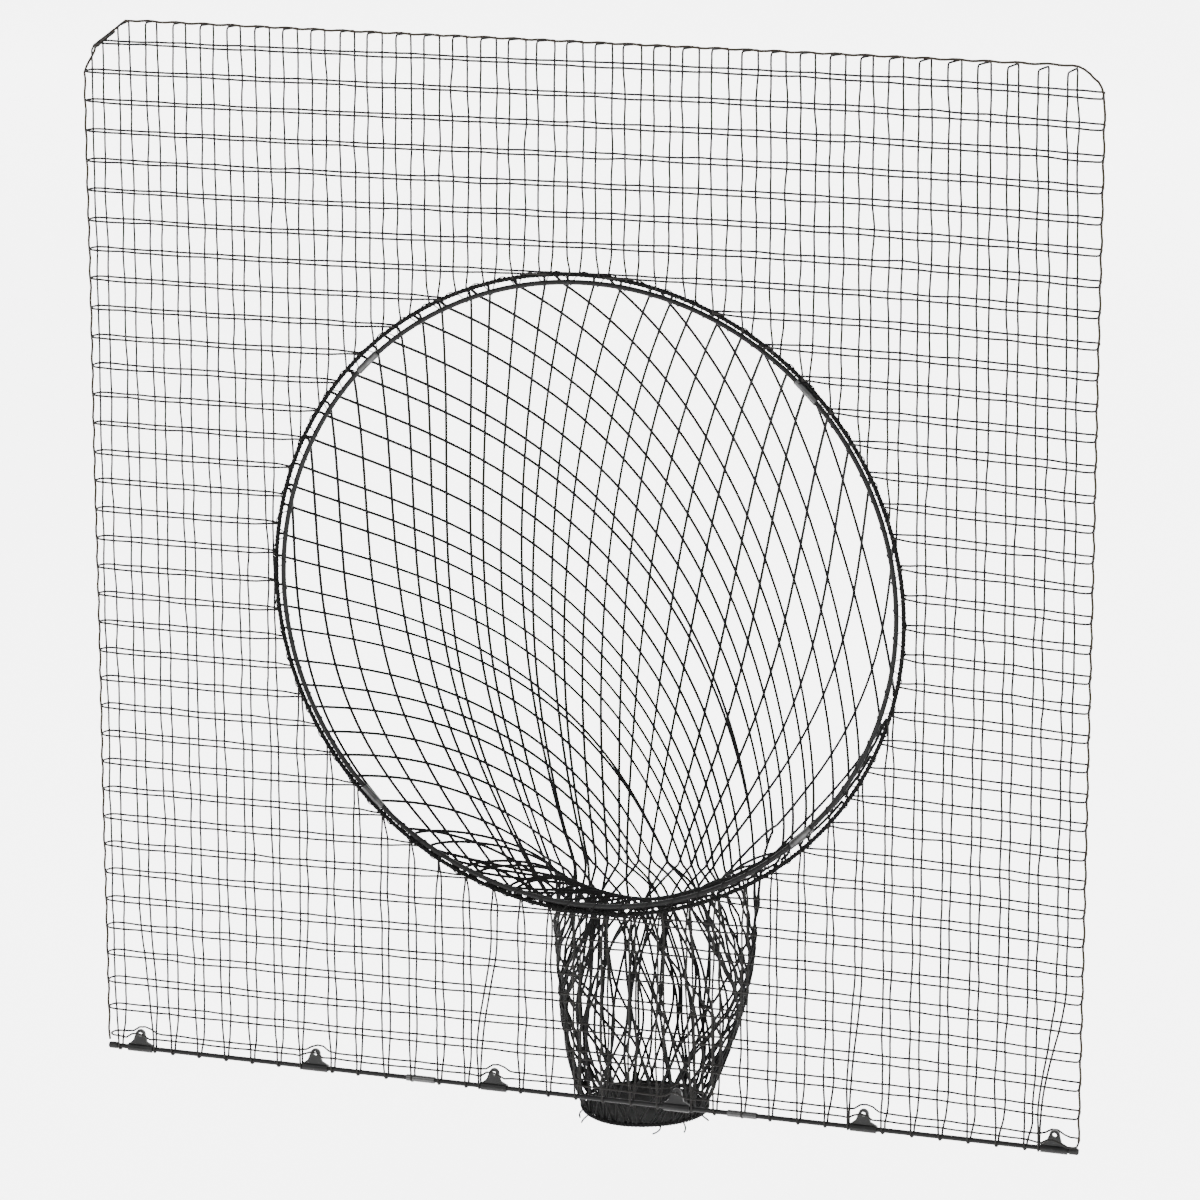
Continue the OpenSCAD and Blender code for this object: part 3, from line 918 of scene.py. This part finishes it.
# The base: a round cloth patch whose middle sags by sag * (1 - r squared), with a rim
# that stands a little proud and a ring of puckers at the stitch line.
def basePatch():
    r = np.linspace(0, 1, base["rings"])[1:]
    a = np.arange(base["spokes"]) / base["spokes"] * 2 * math.pi
    rr, aa = np.meshgrid(r, a, indexing="ij")
    x = base["radius"] * rr * np.sin(aa)
    y = np.minimum(base["radius"] * rr * np.cos(aa), base["cut"])
    sag = -base["sag"] * (1 - rr**2) ** 1.5
    pucker = 0.0006 * np.sin(30 * aa) * np.exp(-((rr - 0.9) / 0.05) ** 2)
    z = sag + pucker + 0.0008 * smoothStep((rr - 0.93) / 0.05)
    place = np.array([sock["hemX"], sock["y"], sock["hemZ"] - 0.0016])
    rim = 1 - smoothStep((rr - 0.97) / 0.03)
    top = np.stack([x, y, z + base["half"] * (0.25 + 0.75 * rim)], -1) + place
    low = np.stack([x, y, z - base["half"] * (0.25 + 0.75 * rim)], -1) + place
    n, m = rr.shape
    points = np.concatenate([[[0, 0, -base["sag"] + base["half"]] + place], top.reshape(-1, 3),
                             [[0, 0, -base["sag"] - base["half"]] + place], low.reshape(-1, 3)])
    i, j = np.meshgrid(np.arange(n - 1), np.arange(m), indexing="ij")
    u = (j + 1) % m
    quad = np.stack([i * m + j, (i + 1) * m + j, (i + 1) * m + u, i * m + u], -1).reshape(-1, 4)
    under = 1 + n * m
    k = np.arange(m)
    faces = (quad[:, ::-1] + 1).tolist() + (quad + under + 1).tolist()
    faces += np.stack([0 * k, 1 + k, 1 + (k + 1) % m], -1)[:, ::-1].tolist()
    faces += np.stack([0 * k + under, under + 1 + k, under + 1 + (k + 1) % m], -1).tolist()
    edge = (n - 1) * m
    faces += np.stack([1 + edge + k, 1 + edge + (k + 1) % m, under + 1 + edge + (k + 1) % m,
                       under + 1 + edge + k], -1)[:, ::-1].tolist()
    loops = np.concatenate([np.asarray(f) for f in faces])
    uv = (points - place)[loops][:, :2]
    return makeObject("base_patch", points, faces, uv, baseCloth)

patch = basePatch()
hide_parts("base_flap")
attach(patch, "flap")

# Short stitches on two rings round the base, each a bowed thread.
def stitches():
    paths, refs = [], []
    for ring, count in ((0.112, 88), (0.104, 82)):
        for k in range(count):
            a = (k + np.linspace(0.14, 0.86, 5)) / count * 2 * math.pi
            y = ring * np.cos(a)
            if y.max() > base["cut"] - 0.004:
                continue
            rr = ring / base["radius"]
            z = sock["hemZ"] - 0.0016 - base["sag"] * (1 - rr**2) ** 1.5 - 0.0013
            z = z - 0.0006 * np.sin(np.linspace(0, math.pi, 5))
            paths.append(np.stack([sock["hemX"] + ring * np.sin(a), sock["y"] + y, z], -1))
            refs.append(np.array([0, 0, 1.0]))
    return carry("base_stitches", paths, refs, 0.0005, 5, threadFinish)

sewn = stitches()
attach(sewn, "flap")

# CAD pieces that stay

def finishNode(nodeName, material):
    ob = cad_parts[nodeName]
    for i in range(len(ob.material_slots)):
        ob.material_slots[i].material = material
    if not ob.material_slots:
        ob.data.materials.append(material)


for k in range(1, 5):
    finishNode(f"hoop_rod_{k}", hoopFinish)
for part in ("left", "mid", "right"):
    finishNode(f"bottom_rod_{part}", barFinish)
for k in range(1, 7):
    finishNode(f"clip_{k}", clipFinish)
finishNode("hoop_ferrules", ringSteel)
finishNode("rod_ferrules", barSteel)
finishNode("rod_end_caps", capFinish)
finishNode("flap_hinge_tape", webFinish)
finishNode("pull_tab", webFinish)
finishNode("tab_rivet", ringSteel)
print("carried nodes finished")

# studio

studio = dict(floor=-2.62, back=15.0, half=30.0, bend=5.0)

# Floor and backdrop in one sheet: flat, then a quarter circle, then straight up.
def makeStage():
    s = studio
    a = np.linspace(0, math.pi / 2, 24)
    y = np.concatenate([[-s["half"]], s["back"] + s["bend"] * np.sin(a), [s["back"] + s["bend"]]])
    z = np.concatenate([[0], s["bend"] * (1 - np.cos(a)), [s["bend"] + 12]]) + s["floor"]
    x = np.array([-s["half"], s["half"]])
    points = np.stack([np.tile(x, len(y)), np.repeat(y, 2), np.repeat(z, 2)], -1)
    k = np.arange(len(y) - 1)
    faces = np.stack([2 * k, 2 * k + 1, 2 * k + 3, 2 * k + 2], -1)
    f = Finish("pale paper")
    f.put(Base_Color=f.ramp(f.noise(f.place(), 0.8), [(0.3, grey(0.965)), (0.7, grey(0.975))]),
          Roughness=0.9, Emission_Color=(1, 1, 1, 1), Emission_Strength=3.6)
    ob = makeObject("backdrop", points, faces.tolist(), np.zeros((faces.size, 2)), f.material)

makeStage()

def softLight(name, place, aim, size, power):
    data = bpy.data.lights.new(name, "AREA")
    data.shape, data.size, data.size_y, data.energy = "RECTANGLE", size, size, power
    ob = bpy.data.objects.new(name, data)
    ob.location = place
    direction = np.array(aim) - np.array(place)
    ob.rotation_euler = (math.atan2(math.hypot(direction[0], direction[1]), -direction[2]), 0,
                         math.atan2(direction[1], direction[0]) - math.pi / 2)
    bpy.context.collection.objects.link(ob)

softLight("key", (-4.5, -6.5, 4.5), (0, 0, -1.1), 4.0, 520)
softLight("fill", (6.0, -5.0, 2.0), (0, 0, -1.1), 4.0, 300)
softLight("wash", (0, 2.4, 5.5), (0, 4.5, -2.6), 6.0, 700)
world = bpy.data.worlds.new("studio air")
world.use_nodes = True
world.node_tree.nodes["Background"].inputs[0].default_value = (1, 1, 1, 1)
world.node_tree.nodes["Background"].inputs[1].default_value = 1.1
bpy.context.scene.world = world
print("studio made")
